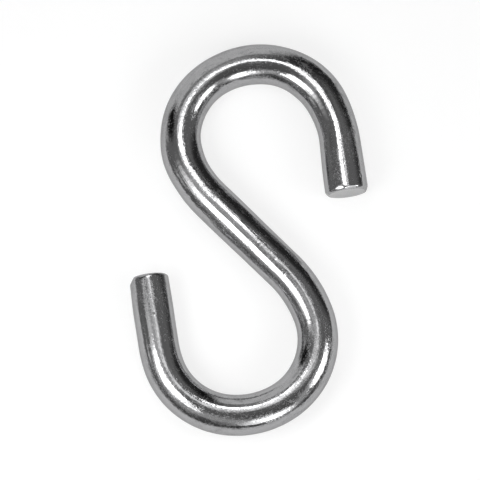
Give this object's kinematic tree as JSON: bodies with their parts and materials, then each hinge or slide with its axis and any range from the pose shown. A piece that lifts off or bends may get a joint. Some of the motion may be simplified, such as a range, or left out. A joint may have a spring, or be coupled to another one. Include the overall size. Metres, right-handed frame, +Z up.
{
  "type": "s hook",
  "caption": "Open S hook bent from one length of round plated steel wire, with a hook at each end in one plane and square-cut tips.",
  "frame": {"origin": "under the middle of the hook's outline, on the surface that it lies on", "axes": "+Y from the lower hook to the upper one, through the two crowns; +Z up, square to the plane of the wire; the upper hook opens towards +X"},
  "size_m": [0.0328, 0.0586, 0.006],
  "materials": {
    "plated_wire": "bright zinc plate over drawn steel wire, with fine draw lines and small dents"
  },
  "bodies": {
    "root": {"s_hook": "plated_wire"}
  },
  "joints": []
}
